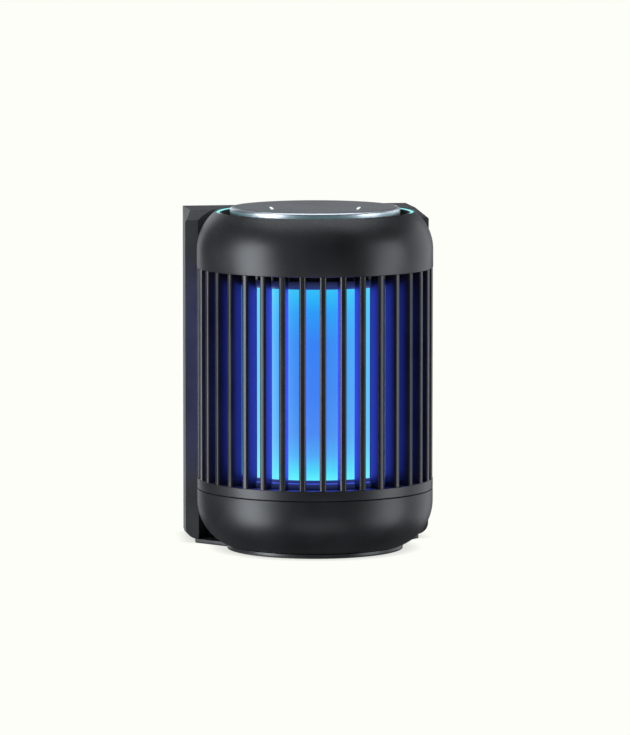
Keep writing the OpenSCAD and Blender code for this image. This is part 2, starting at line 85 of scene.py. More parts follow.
class Bench:
    """A node tree that is being wired: adds nodes, links sockets and sets values."""

    def __init__(self, tree: bpy.types.NodeTree) -> None:
        """Keeps the tree."""
        self.tree = tree

    def add(self, kind: str, **settings: object) -> bpy.types.Node:
        """Adds a node.

        Args:
            kind: The node's type name.
            settings: Properties to set on it.

        Returns:
            The new node.
        """
        node = self.tree.nodes.new(kind)
        for key, value in settings.items():
            setattr(node, key, value)
        return node

    def feed(self, node: bpy.types.Node, **inputs: object) -> bpy.types.Node:
        """Sets or links a node's inputs by name, with underscores for spaces.

        Args:
            node: The node to feed.
            inputs: A socket to link from, or a plain value, for each input.

        Returns:
            The same node.
        """
        for key, value in inputs.items():
            socket = node.inputs[key.replace("_", " ")]
            if isinstance(value, bpy.types.NodeSocket):
                self.tree.links.new(value, socket)
            elif isinstance(value, tuple) and len(value) == 3 and socket.type == "RGBA":
                socket.default_value = (*value, 1.0)
            else:
                socket.default_value = value
        return node

    def maths(self, operation: str, first: object, second: object = 0.0) -> bpy.types.NodeSocket:
        """Adds a Math node.

        Args:
            operation: The node's operation.
            first: A socket or number for the first input.
            second: A socket or number for the second input.

        Returns:
            The node's result.
        """
        node = self.add("ShaderNodeMath", operation=operation)
        for socket, value in zip(node.inputs, (first, second)):
            if isinstance(value, bpy.types.NodeSocket):
                self.tree.links.new(value, socket)
            else:
                socket.default_value = float(value)
        return node.outputs[0]

    def blend(self, factor: object, low: object, high: object) -> bpy.types.NodeSocket:
        """Adds a colour Mix node.

        Args:
            factor: A socket or number from 0 to 1.
            low: Colour or socket at 0.
            high: Colour or socket at 1.

        Returns:
            The mixed colour.
        """
        node = self.add("ShaderNodeMix", data_type="RGBA")
        sockets = (node.inputs[0], node.inputs[6], node.inputs[7])
        for socket, value in zip(sockets, (factor, low, high)):
            if isinstance(value, bpy.types.NodeSocket):
                self.tree.links.new(value, socket)
            elif isinstance(value, tuple):
                socket.default_value = (*value, 1.0)
            else:
                socket.default_value = value
        return node.outputs[2]

    def spread(self, value: bpy.types.NodeSocket, low: float, high: float,
               out_low: float = 0.0, out_high: float = 1.0) -> bpy.types.NodeSocket:
        """Maps a value from one range to another and clamps it.

        Args:
            value: The socket to map.
            low: Lowest value in.
            high: Highest value in.
            out_low: Result at low.
            out_high: Result at high.

        Returns:
            The mapped value.
        """
        node = self.add("ShaderNodeMapRange")
        self.feed(node, Value=value, From_Min=low, From_Max=high, To_Min=out_low, To_Max=out_high)
        return node.outputs[0]

    def place(self) -> bpy.types.NodeSocket:
        """Returns the object coordinates, which are the frame's own metres."""
        return self.add("ShaderNodeTexCoord").outputs["Object"]

    def noise(self, scale: float, detail: float = 3.0,
              stretch: tuple[float, float, float] = (1.0, 1.0, 1.0)) -> bpy.types.NodeSocket:
        """Adds noise over the object.

        Args:
            scale: Noise cells per metre.
            detail: Octaves.
            stretch: Scale along each axis.

        Returns:
            The noise value.
        """
        mapping = self.feed(self.add("ShaderNodeMapping"), Vector=self.place(), Scale=stretch)
        node = self.add("ShaderNodeTexNoise")
        self.feed(node, Vector=mapping.outputs[0], Scale=scale, Detail=detail)
        return node.outputs["Fac"]

    def ramp(self, value: bpy.types.NodeSocket,
             stops: Iterable[tuple[float, Colour]]) -> bpy.types.NodeSocket:
        """Adds a colour ramp.

        Args:
            value: Place along the ramp.
            stops: Position and colour of each stop.

        Returns:
            The ramp's colour.
        """
        node = self.add("ShaderNodeValToRGB")
        elements = node.color_ramp.elements
        listed = list(stops)
        while len(elements) < len(listed):
            elements.new(0.5)
        for element, (position, colour) in zip(elements, listed):
            element.position = position
            element.color = (*colour, 1.0)
        self.feed(node, Fac=value)
        return node.outputs[0]


class Effect(Enum):
    """The shared shader effects, each one node group."""

    GRAIN = "moulded_grain"
    WEAR = "edge_wear"
    DUST = "settled_dust"
    BRUSHING = "brushed_lines"


class EffectShelf:
    """Builds each shared node group once and places it in materials."""

    def __init__(self) -> None:
        """Builds the groups."""
        self._groups: dict[Effect, bpy.types.NodeTree] = {}
        self._build(Effect.GRAIN, {"Scale": 2500.0, "Drift": 1.0}, ("Height", "Mottle"), self._grain)
        self._build(Effect.WEAR, {"Radius": 0.0004, "Amount": 0.5}, ("Mask",), self._wear)
        self._build(Effect.DUST, {"Amount": 0.2}, ("Mask",), self._dust)
        self._build(Effect.BRUSHING, {"Scale": 60.0, "Turned": 0.0}, ("Height", "Streak"), self._brushing)

    def _build(self, effect: Effect, inputs: dict[str, float], outputs: tuple[str, ...],
               fill: Callable[[Bench, bpy.types.Node, bpy.types.Node], None]) -> None:
        """Makes one group's interface and fills it.

        Args:
            effect: The effect the group makes.
            inputs: Name and default of each input.
            outputs: Name of each output.
            fill: Adds the group's nodes between its input and output nodes.
        """
        group = bpy.data.node_groups.new(effect.value, "ShaderNodeTree")
        for name, default in inputs.items():
            socket = group.interface.new_socket(name, in_out="INPUT", socket_type="NodeSocketFloat")
            socket.default_value = default
        for name in outputs:
            group.interface.new_socket(name, in_out="OUTPUT", socket_type="NodeSocketFloat")
        bench = Bench(group)
        fill(bench, bench.add("NodeGroupInput"), bench.add("NodeGroupOutput"))
        self._groups[effect] = group

    @staticmethod
    def _scaled_noise(bench: Bench, scale: bpy.types.NodeSocket, detail: float) -> bpy.types.NodeSocket:
        """Adds noise whose scale comes from a socket.

        Args:
            bench: The tree.
            scale: Noise cells per metre.
            detail: Octaves.

        Returns:
            The noise value.
        """
        node = bench.add("ShaderNodeTexNoise")
        bench.feed(node, Vector=bench.place(), Scale=scale, Detail=detail)
        return node.outputs["Fac"]

    def _grain(self, bench: Bench, source: bpy.types.Node, sink: bpy.types.Node) -> None:
        """Spark-eroded mould texture: fine height and a slow mottle.

        Args:
            bench: The group's tree.
            source: The group's input node.
            sink: The group's output node.
        """
        fine = self._scaled_noise(bench, source.outputs["Scale"], 2.0)
        cells = bench.add("ShaderNodeTexVoronoi")
        bench.feed(cells, Vector=bench.place(), Scale=source.outputs["Scale"])
        height = bench.maths("ADD", bench.maths("MULTIPLY", fine, 0.7),
                             bench.maths("MULTIPLY", cells.outputs["Distance"], 0.3))
        slow = bench.spread(bench.noise(38.0, 4.0), 0.35, 0.65, -1.0, 1.0)
        mottle = bench.maths("MULTIPLY", slow, source.outputs["Drift"])
        bench.feed(sink, Height=height, Mottle=mottle)

    def _wear(self, bench: Bench, source: bpy.types.Node, sink: bpy.types.Node) -> None:
        """Rubbed edges: where a rounded normal leaves the true one, broken up by noise.

        Args:
            bench: The group's tree.
            source: The group's input node.
            sink: The group's output node.
        """
        rounded = bench.feed(bench.add("ShaderNodeBevel", samples=4), Radius=source.outputs["Radius"])
        dot = bench.add("ShaderNodeVectorMath", operation="DOT_PRODUCT")
        bench.tree.links.new(rounded.outputs[0], dot.inputs[0])
        bench.tree.links.new(bench.add("ShaderNodeNewGeometry").outputs["Normal"], dot.inputs[1])
        edge = bench.spread(dot.outputs["Value"], 0.99, 0.80)
        broken = bench.maths("MULTIPLY", edge, bench.spread(bench.noise(420.0, 5.0), 0.38, 0.62))
        bench.feed(sink, Mask=bench.maths("MULTIPLY", broken, source.outputs["Amount"]))

    def _dust(self, bench: Bench, source: bpy.types.Node, sink: bpy.types.Node) -> None:
        """Fine dust on faces that look up.

        Args:
            bench: The group's tree.
            source: The group's input node.
            sink: The group's output node.
        """
        split = bench.add("ShaderNodeSeparateXYZ")
        bench.tree.links.new(bench.add("ShaderNodeNewGeometry").outputs["Normal"], split.inputs[0])
        up = bench.spread(split.outputs["Z"], 0.25, 1.0)
        specks = bench.spread(bench.noise(900.0, 6.0), 0.48, 0.72)
        settled = bench.maths("MULTIPLY", up, specks)
        bench.feed(sink, Mask=bench.maths("MULTIPLY", settled, source.outputs["Amount"]))

    def _brushing(self, bench: Bench, source: bpy.types.Node, sink: bpy.types.Node) -> None:
        """Brushed metal: lines drawn along Z, or rings turned round Z where Turned is 1.

        Args:
            bench: The group's tree.
            source: The group's input node.
            sink: The group's output node.
        """
        split = bench.add("ShaderNodeSeparateXYZ")
        bench.tree.links.new(bench.place(), split.inputs[0])
        radius = bench.maths("SQRT", bench.maths(
            "ADD", bench.maths("MULTIPLY", split.outputs["X"], split.outputs["X"]),
            bench.maths("MULTIPLY", split.outputs["Y"], split.outputs["Y"])))
        across = bench.maths("ADD", bench.maths("MULTIPLY", split.outputs["X"], 37.0),
                             bench.maths("MULTIPLY", split.outputs["Y"], 41.0))
        rings = bench.maths("ADD", bench.maths("MULTIPLY", radius, 37.0),
                            bench.maths("MULTIPLY", split.outputs["Z"], 53.0))
        turned = source.outputs["Turned"]
        along = bench.maths("ADD", bench.maths("MULTIPLY", rings, turned),
                            bench.maths("MULTIPLY", across, bench.maths("SUBTRACT", 1.0, turned)))
        lines = bench.add("ShaderNodeTexNoise", noise_dimensions="1D")
        bench.feed(lines, W=along, Scale=source.outputs["Scale"], Detail=4.0)
        streak = bench.spread(lines.outputs["Fac"], 0.3, 0.7, -1.0, 1.0)
        bench.feed(sink, Height=lines.outputs["Fac"], Streak=streak)

    def put(self, bench: Bench, effect: Effect, **values: float) -> bpy.types.Node:
        """Places an effect in a material.

        Args:
            bench: The material's tree.
            effect: The effect to place.
            values: Values for its inputs.

        Returns:
            The group node.
        """
        node = bench.add("ShaderNodeGroup", node_tree=self._groups[effect])
        return bench.feed(node, **values)


# ---------------------------------------------------------------- finishes


class Recipe(Protocol):
    """A finish that can build its own material."""

    def make(self, shelf: EffectShelf) -> bpy.types.Material:
        """Builds the material from the shared effects."""


def fresh_material(name: str) -> tuple[bpy.types.Material, Bench, bpy.types.Node]:
    """Starts a material.

    Args:
        name: The material's name.

    Returns:
        The material, its bench and its Principled shader.
    """
    material = bpy.data.materials.new(name)
    material.use_nodes = True
    shader = next(n for n in material.node_tree.nodes if n.type == "BSDF_PRINCIPLED")
    return material, Bench(material.node_tree), shader


def bumped(bench: Bench, height: bpy.types.NodeSocket, depth: float) -> bpy.types.NodeSocket:
    """Turns a height into a normal.

    Args:
        bench: The material's tree.
        height: Height from 0 to 1.
        depth: Height of 1 in metres.

    Returns:
        The bumped normal.
    """
    node = bench.add("ShaderNodeBump")
    bench.feed(node, Height=height, Distance=depth, Strength=1.0)
    return node.outputs[0]


@dataclass(frozen=True)
class Moulding:
    """Satin moulded plastic or rubber: mould grain, mottle, rubbed edges and a little dust."""

    name: str
    colour: Colour
    roughness: float
    grain: float = 2600.0
    depth: float = 0.000012
    wear: float = 0.35
    dust: float = 0.1
    gloss: float = 0.5

    def make(self, shelf: EffectShelf) -> bpy.types.Material:
        """Builds the material.

        Args:
            shelf: The shared effects.

        Returns:
            The material.
        """
        material, bench, shader = fresh_material(self.name)
        grain = shelf.put(bench, Effect.GRAIN, Scale=self.grain, Drift=1.0)
        wear = shelf.put(bench, Effect.WEAR, Radius=0.0004, Amount=self.wear)
        dust = shelf.put(bench, Effect.DUST, Amount=self.dust)
        lighter = tuple(min(1.0, c * 1.25 + 0.002) for c in self.colour)
        darker = tuple(c * 0.82 for c in self.colour)
        rubbed = tuple(min(1.0, c * 2.2 + 0.02) for c in self.colour)
        tone = bench.spread(grain.outputs["Mottle"], -1.0, 1.0)
        base = bench.blend(tone, darker, lighter)
        base = bench.blend(wear.outputs["Mask"], base, rubbed)
        base = bench.blend(dust.outputs["Mask"], base, (0.32, 0.31, 0.29))
        rough = bench.maths("ADD", bench.maths("MULTIPLY", grain.outputs["Mottle"], 0.03), self.roughness)
        rough = bench.maths("ADD", rough, bench.maths("MULTIPLY", dust.outputs["Mask"], 0.3))
        bench.feed(shader, Base_Color=base, Roughness=rough, Specular_IOR_Level=self.gloss,
                   Normal=bumped(bench, grain.outputs["Height"], self.depth))
        return material


@dataclass(frozen=True)
class Metal:
    """Bare or plated metal with brushed or turned lines."""

    name: str
    colour: Colour
    roughness: float
    turned: bool = False
    lines: float = 60.0
    depth: float = 0.000004

    def make(self, shelf: EffectShelf) -> bpy.types.Material:
        """Builds the material.

        Args:
            shelf: The shared effects.

        Returns:
            The material.
        """
        material, bench, shader = fresh_material(self.name)
        brushing = shelf.put(bench, Effect.BRUSHING, Scale=self.lines, Turned=1.0 if self.turned else 0.0)
        wear = shelf.put(bench, Effect.WEAR, Radius=0.0003, Amount=0.4)
        dull = tuple(c * 0.8 for c in self.colour)
        bright = tuple(min(1.0, c * 1.15) for c in self.colour)
        base = bench.blend(bench.spread(brushing.outputs["Streak"], -1.0, 1.0), dull, self.colour)
        base = bench.blend(wear.outputs["Mask"], base, bright)
        rough = bench.maths("ADD", bench.maths("MULTIPLY", brushing.outputs["Streak"], 0.05), self.roughness)
        bench.feed(shader, Base_Color=base, Roughness=rough, Metallic=1.0,
                   Normal=bumped(bench, brushing.outputs["Height"], self.depth))
        return material


@dataclass(frozen=True)
class Lacquer:
    """Smooth glossy film or glass-like plate: faint haze marks over an even colour."""

    name: str
    colour: Colour
    roughness: float
    haze: float = 0.06
    coat: float = 0.0

    def make(self, shelf: EffectShelf) -> bpy.types.Material:
        """Builds the material.

        Args:
            shelf: The shared effects.

        Returns:
            The material.
        """
        material, bench, shader = fresh_material(self.name)
        grain = shelf.put(bench, Effect.GRAIN, Scale=1200.0, Drift=1.0)
        dust = shelf.put(bench, Effect.DUST, Amount=0.05)
        tone = bench.spread(grain.outputs["Mottle"], -1.0, 1.0)
        base = bench.blend(tone, tuple(c * 0.92 for c in self.colour), tuple(c * 1.06 for c in self.colour))
        base = bench.blend(dust.outputs["Mask"], base, (0.4, 0.4, 0.4))
        smear = bench.spread(bench.noise(55.0, 5.0), 0.45, 0.7, 0.0, self.haze)
        bench.feed(shader, Base_Color=base, Roughness=bench.maths("ADD", smear, self.roughness),
                   Coat_Weight=self.coat, Coat_Roughness=0.08,
                   Normal=bumped(bench, grain.outputs["Height"], 0.000002))
        return material


@dataclass(frozen=True)
class TubeGlow:
    """Frosted tube lit from inside: violet-blue faces, cyan between them and at both ends."""

    name: str
    low: float
    high: float
    facing: float
    strength: float = 1.0
    throw: Colour = (0.05, 0.1, 1.0)
    gleam: float = 3.2
    fill: float = 4.0

    def make(self, shelf: EffectShelf) -> bpy.types.Material:
        """Builds the material.

        Args:
            shelf: The shared effects.

        Returns:
            The material.
        """
        material, bench, shader = fresh_material(self.name)
        split = bench.add("ShaderNodeSeparateXYZ")
        bench.tree.links.new(bench.place(), split.inputs[0])
        height = bench.spread(split.outputs["Z"], self.low, self.high)
        angle = bench.maths("ARCTAN2", split.outputs["X"], bench.maths("MULTIPLY", split.outputs["Y"], -1.0))
        turn = bench.maths("MULTIPLY", bench.maths("SUBTRACT", angle, self.facing), 3.0)
        between = bench.spread(bench.maths("COSINE", turn), 1.0, -1.0)
        faces = bench.ramp(height, (
            (0.0, screen(97, 249, 252)), (0.05, screen(80, 220, 250)), (0.13, screen(80, 170, 248)),
            (0.24, screen(76, 139, 242)), (0.45, screen(66, 128, 241)), (0.72, screen(55, 130, 243)),
            (0.88, screen(43, 156, 247)), (0.95, screen(42, 182, 248)), (1.0, screen(51, 194, 247)),
        ))
        gaps = bench.ramp(height, (
            (0.0, screen(126, 243, 252)), (0.08, screen(112, 238, 248)), (0.2, screen(107, 218, 247)),
            (0.5, screen(97, 211, 248)), (0.8, screen(88, 211, 248)), (1.0, screen(84, 219, 246)),
        ))
        glow = bench.blend(between, faces, gaps)
        veil = bench.spread(bench.noise(300.0, 3.0, (1.0, 1.0, 0.04)), 0.3, 0.7, 0.9, 1.0)
        lit = bench.blend(veil, (0.02, 0.16, 0.75), glow)
        grain = shelf.put(bench, Effect.GRAIN, Scale=1800.0, Drift=1.0)
        path = bench.add("ShaderNodeLightPath")
        thrown = bench.blend(path.outputs["Is Camera Ray"], self.throw, lit)
        power = bench.maths("ADD", self.strength, bench.maths(
            "ADD", bench.maths("MULTIPLY", path.outputs["Is Glossy Ray"], self.gleam),
            bench.maths("MULTIPLY", path.outputs["Is Diffuse Ray"], self.fill)))
        bench.feed(shader, Base_Color=(0.01, 0.04, 0.1), Roughness=0.5, Emission_Color=thrown,
                   Emission_Strength=power, Normal=bumped(bench, grain.outputs["Height"], 0.00001))
        return material


@dataclass(frozen=True)
class Holder:
    """Dark holder with a painted glow: emission, strongest at the end nearest the lit tube and fading away
    from it, stands in for the tube's light passing through it.
    """

    name: str
    colour: Colour
    painted_glow: Colour
    seats: tuple[tuple[float, float], tuple[float, float]]
    middle: float = 0.08

    def make(self, shelf: EffectShelf) -> bpy.types.Material:
        """Builds the material.

        Args:
            shelf: The shared effects.

        Returns:
            The material.
        """
        material, bench, shader = fresh_material(self.name)
        grain = shelf.put(bench, Effect.GRAIN, Scale=1800.0, Drift=1.0)
        split = bench.add("ShaderNodeSeparateXYZ")
        bench.tree.links.new(bench.place(), split.inputs[0])
        # Painted glow: rises across each height span towards the lit tube, one span below the middle height
        # and one above it.
        lit = [bench.spread(split.outputs["Z"], far, near) for far, near in self.seats]
        faded = [bench.maths("POWER", value, 1.6) for value in lit]
        below = bench.maths("LESS_THAN", split.outputs["Z"], self.middle)
        above = bench.maths("GREATER_THAN", split.outputs["Z"], self.middle)
        amount = bench.maths("ADD", bench.maths("MULTIPLY", faded[0], below),
                             bench.maths("MULTIPLY", faded[1], above))
        broken = bench.maths("MULTIPLY", amount, bench.spread(grain.outputs["Mottle"], -1.0, 1.0, 0.85, 1.0))
        tone = bench.spread(grain.outputs["Mottle"], -1.0, 1.0)
        base = bench.blend(tone, tuple(c * 0.85 for c in self.colour), tuple(c * 1.15 for c in self.colour))
        bench.feed(shader, Base_Color=base, Roughness=0.4, Emission_Strength=1.0,
                   Emission_Color=bench.blend(broken, (0.0, 0.0, 0.0), self.painted_glow),
                   Normal=bumped(bench, grain.outputs["Height"], 0.00001))
        return material


@dataclass(frozen=True)
class SoftGlow:
    """Diffuser that glows in one colour, a little uneven along its length."""

    name: str
    colour: Colour
    strength: float

    def make(self, shelf: EffectShelf) -> bpy.types.Material:
        """Builds the material.

        Args:
            shelf: The shared effects.

        Returns:
            The material.
        """
        material, bench, shader = fresh_material(self.name)
        grain = shelf.put(bench, Effect.GRAIN, Scale=1500.0, Drift=1.0)
        dim = tuple(c * 0.72 for c in self.colour)
        lit = bench.blend(bench.spread(bench.noise(70.0), 0.3, 0.7), dim, self.colour)
        bench.feed(shader, Base_Color=tuple(c * 0.5 for c in self.colour), Roughness=0.4, Emission_Color=lit,
                   Emission_Strength=self.strength, Normal=bumped(bench, grain.outputs["Height"], 0.000004))
        return material


@dataclass(frozen=True)
class Board:
    """Circuit board: solder mask with fine tracks under it."""

    name: str
    mask: Colour
    track: Colour

    def make(self, shelf: EffectShelf) -> bpy.types.Material:
        """Builds the material.

        Args:
            shelf: The shared effects.

        Returns:
            The material.
        """
        material, bench, shader = fresh_material(self.name)
        grain = shelf.put(bench, Effect.GRAIN, Scale=900.0, Drift=1.0)
        tracks = bench.add("ShaderNodeTexBrick", offset=0.5)
        bench.feed(tracks, Vector=bench.place(), Scale=260.0, Mortar_Size=0.06, Color1=self.mask,
                   Color2=tuple(c * 0.85 for c in self.mask), Mortar=self.track)
        tone = bench.spread(grain.outputs["Mottle"], -1.0, 1.0, 0.0, 0.3)
        base = bench.blend(tone, tracks.outputs["Color"], tuple(c * 0.7 for c in self.mask))
        bench.feed(shader, Base_Color=base, Roughness=0.32,
                   Normal=bumped(bench, tracks.outputs["Fac"], 0.00003))
        return material


class Finish(Enum):
    """Every finish of the object, by the name of its record slot."""

    SHELL = "graphite_shell"
    DOCK = "graphite_dock"
    BLADE = "graphite_blade"
    COVER = "black_cover"
    BLACK = "black_moulding"
    # This finish carries a painted glow near the tube's ends.
    HOLDER = "translucent_holder"
    RUBBER = "black_rubber"
    SILICONE = "red_silicone"
    PAINTED = "painted_steel"
    SCREW = "screw_steel"
    WIRE = "wire_steel"
    MAGNET = "magnet_nickel"
    GOLD = "gold_contact"
    SLATE = "disc_slate"
    TRIM = "bright_trim"
    TUBE = "ultraviolet_diffuser"
    RING = "ring_diffuser"
    MARK = "white_mark"
    HEAT_SINK = "heat_sink"
    LED_BOARD = "led_board_white"
    GREEN_BOARD = "green_board"
    # This finish carries a painted glow on the side towards the tube.
    INSULATOR = "insulator"
    CELL = "cell_wrap"
    TAPE = "coil_tape"


class Paintshop:
    """Makes each finish once and puts it on pieces and nodes."""

    def __init__(self, facing: float) -> None:
        """Makes every material.

        Args:
            facing: Angle of the tube's violet face from the front, in radians.
        """
        shelf = EffectShelf()
        low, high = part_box("lamp_seat")[1][2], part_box("lamp_cap")[0][2]
        black = (0.012, 0.012, 0.013)
        recipes: dict[Finish, Recipe] = {
            Finish.DOCK: Moulding("graphite_dock", (0.056, 0.056, 0.058), 0.52),
            Finish.SHELL: Moulding("graphite_shell", (0.0125, 0.0128, 0.0145), 0.38),
            Finish.BLADE: Moulding("graphite_blade", (0.016, 0.016, 0.018), 0.34, wear=0.5, dust=0.0),
            Finish.COVER: Moulding("black_cover", black, 0.5, grain=1400.0, depth=0.00003),
            Finish.BLACK: Moulding("black_moulding", black, 0.42, wear=0.2),
            # Painted glow: the seat and cap glow blue next to the tube's ends, standing in for its light on
            # them.
            Finish.HOLDER: Holder("translucent_holder", (0.02, 0.02, 0.024), (0.03, 0.05, 0.24),
                                  ((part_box("lamp_seat")[0][2] - 2 * MM, low),
                                   (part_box("lamp_cap")[1][2], high))),
            Finish.RUBBER: Moulding("black_rubber", (0.01, 0.01, 0.01), 0.7,
                                    grain=1100.0, depth=0.00004, wear=0.1),
            Finish.SILICONE: Moulding("red_silicone", (0.32, 0.03, 0.02), 0.35, wear=0.1),
            Finish.PAINTED: Moulding("painted_steel", (0.018, 0.018, 0.02), 0.36, grain=900.0, wear=0.6),
            # Painted glow: each grid ring glows blue on the side towards the lit tube, standing in for its
            # light on them.
            Finish.INSULATOR: Holder("insulator", (0.03, 0.03, 0.035), (0.022, 0.036, 0.15), (
                (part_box("grid_ring_lower")[0][2] - 2 * MM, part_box("grid_ring_lower")[1][2]),
                (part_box("grid_ring_upper")[1][2] + 2 * MM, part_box("grid_ring_upper")[0][2]))),
            Finish.TAPE: Moulding("coil_tape", (0.55, 0.42, 0.05), 0.4, grain=700.0, wear=0.2),
            Finish.SCREW: Metal("screw_steel", (0.42, 0.42, 0.43), 0.3, turned=True),
            Finish.WIRE: Metal("wire_steel", (0.4, 0.41, 0.43), 0.34),
            Finish.MAGNET: Metal("magnet_nickel", (0.66, 0.64, 0.6), 0.15, turned=True),
            Finish.GOLD: Metal("gold_contact", (0.83, 0.62, 0.25), 0.2, turned=True),
            Finish.TRIM: Metal("bright_trim", (0.84, 0.89, 0.96), 0.36, turned=True, lines=40.0),
            Finish.HEAT_SINK: Metal("heat_sink", (0.7, 0.71, 0.72), 0.35),
            Finish.SLATE: Lacquer("disc_slate", (0.02, 0.03, 0.046), 0.22, coat=0.5),
            Finish.CELL: Lacquer("cell_wrap", (0.03, 0.14, 0.35), 0.28),
            Finish.TUBE: TubeGlow("ultraviolet_diffuser", low, high, facing),
            Finish.RING: SoftGlow("ring_diffuser", screen(150, 236, 236), 1.0),
            Finish.MARK: SoftGlow("white_mark", (0.85, 0.9, 0.95), 1.0),
            Finish.LED_BOARD: Board("led_board_white", (0.7, 0.7, 0.67), (0.5, 0.5, 0.48)),
            Finish.GREEN_BOARD: Board("green_board", (0.02, 0.13, 0.06), (0.06, 0.26, 0.12)),
        }
        self._materials: dict[Finish, bpy.types.Material] = {}
        for finish, recipe in recipes.items():
            self._materials[finish] = recipe.make(shelf)

    def paint(self, piece: bpy.types.Object, finish: Finish) -> None:
        """Gives a piece one finish.

        Args:
            piece: The object to paint.
            finish: Its finish.
        """
        piece.data.materials.clear()
        piece.data.materials.append(self._materials[finish])

    def paint_nodes(self, finish: Finish, *nodes: str) -> None:
        """Gives carried-over nodes one finish, without touching their shape.

        Args:
            finish: The finish.
            nodes: The nodes' names.
        """
        for name in nodes:
            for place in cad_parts[name].material_slots:
                place.material = self._materials[finish]


# ---------------------------------------------------------------- mesh building


def arc(centre: Point, radius: float, start: float, end: float, steps: int = 24) -> list[Point]:
    """Returns points of an arc in the radius-height plane.

    Args:
        centre: The arc's centre.
        radius: Its radius.
        start: First angle in degrees.
        end: Last angle in degrees.
        steps: Number of chords.

    Returns:
        The points in order.
    """
    angles = (math.radians(start + (end - start) * i / steps) for i in range(steps + 1))
    return [(centre[0] + radius * math.cos(a), centre[1] + radius * math.sin(a)) for a in angles]


def eased(corners: list[tuple[float, float, float]], steps: int = 4) -> list[Point]:
    """Rounds the corners of a closed outline.

    Args:
        corners: Radius, height and rounding of each corner.
        steps: Chords in each rounding.

    Returns:
        The outline with its corners rounded.
    """
    outline: list[Point] = []
    count = len(corners)
    for i, (x, y, rounding) in enumerate(corners):
        here = Vector((x, y))
        before = Vector(corners[i - 1][:2]) - here
        after = Vector(corners[(i + 1) % count][:2]) - here
        reach = min(rounding, before.length * 0.45, after.length * 0.45)
        if reach <= 0.0:
            outline.append((x, y))
            continue
        first = here + before.normalized() * reach
        last = here + after.normalized() * reach
        for k in range(steps + 1):
            t = k / steps
            point = first * (1 - t) ** 2 + here * 2 * t * (1 - t) + last * t ** 2
            outline.append((point.x, point.y))
    return outline


def finish_mesh(name: str, mesh: bmesh.types.BMesh, sharp: float = 35.0) -> bpy.types.Object:
    """Turns a bmesh into a smooth-shaded object in the scene.

    Args:
        name: The piece's name.
        mesh: The mesh, which is freed.
        sharp: Angle in degrees past which an edge stays sharp.

    Returns:
        The object.
    """
    bmesh.ops.recalc_face_normals(mesh, faces=mesh.faces)
    data = bpy.data.meshes.new(name)
    mesh.to_mesh(data)
    mesh.free()
    for polygon in data.polygons:
        polygon.use_smooth = True
    data.set_sharp_from_angle(angle=math.radians(sharp))
    piece = bpy.data.objects.new(name, data)
    bpy.context.scene.collection.objects.link(piece)
    return piece


def add_lathe(mesh: bmesh.types.BMesh, outline: list[Point], segments: int = 192) -> None:
    """Adds a solid of revolution about Z to a bmesh.

    Args:
        mesh: The mesh to add to.
        outline: Closed outline as radius and height; points on the axis become poles.
        segments: Steps round the axis.
    """
    rings: list[list[bmesh.types.BMVert]] = []
    for radius, height in outline:
        if radius < 1e-7:
            rings.append([mesh.verts.new((0.0, 0.0, height))])
            continue
        turn = (2 * math.pi * k / segments for k in range(segments))
        rings.append([mesh.verts.new((radius * math.cos(a), radius * math.sin(a), height)) for a in turn])
    for i, ring in enumerate(rings):
        following = rings[(i + 1) % len(rings)]
        if len(ring) == 1 and len(following) == 1:
            continue
        for k in range(segments):
            n = (k + 1) % segments
            if len(ring) == 1:
                mesh.faces.new((ring[0], following[k], following[n]))
            elif len(following) == 1:
                mesh.faces.new((ring[k], ring[n], following[0]))
            else:
                mesh.faces.new((ring[k], ring[n], following[n], following[k]))


def lathe(name: str, outline: list[Point], segments: int = 192) -> bpy.types.Object:
    """Makes a piece that is one solid of revolution.

    Args:
        name: The piece's name.
        outline: Closed outline as radius and height.
        segments: Steps round the axis.

    Returns:
        The object.
    """
    mesh = bmesh.new()
    add_lathe(mesh, outline, segments)
    return finish_mesh(name, mesh)


def add_prism(mesh: bmesh.types.BMesh, outline: list[Point], low: float, high: float,
              turn: float = 0.0) -> None:
    """Adds an upright prism to a bmesh.

    Args:
        mesh: The mesh to add to.
        outline: Its plan, counter-clockwise.
        low: Height of its lower face.
        high: Height of its upper face.
        turn: Angle about Z in radians.
    """
    spin = Matrix.Rotation(turn, 3, "Z")
    bottom = [mesh.verts.new(spin @ Vector((x, y, low))) for x, y in outline]
    top = [mesh.verts.new(spin @ Vector((x, y, high))) for x, y in outline]
    count = len(outline)
    for i in range(count):
        n = (i + 1) % count
        mesh.faces.new((bottom[i], bottom[n], top[n], top[i]))
    mesh.faces.new(list(reversed(bottom)))
    mesh.faces.new(top)


def soften(piece: bpy.types.Object, width: float, segments: int = 2, angle: float = 35.0) -> None:
    """Rounds a piece's hard edges with a bevel.

    Args:
        piece: The object.
        width: Bevel width in metres.
        segments: Steps across the bevel.
        angle: Smallest edge angle that is rounded, in degrees.
    """
    bevel = piece.modifiers.new("eased_edges", "BEVEL")
    bevel.width = width
    bevel.segments = segments
    bevel.limit_method = "ANGLE"
    bevel.angle_limit = math.radians(angle)
    bevel.harden_normals = True
    bevel.use_clamp_overlap = True


def mount_piece(shop: Paintshop, piece: bpy.types.Object, finish: Finish, body: str, *nodes: str) -> None:
    """Paints a piece, puts it on its body and hides the nodes it stands for.

    Args:
        shop: Where the finishes are kept.
        piece: The object.
        finish: Its finish, whose value is its record slot.
        body: The body it rides on.
        nodes: The nodes that it replaces.
    """
    shop.paint(piece, finish)
    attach(piece, body)
    if nodes:
        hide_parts(*nodes)


# ---------------------------------------------------------------- the object


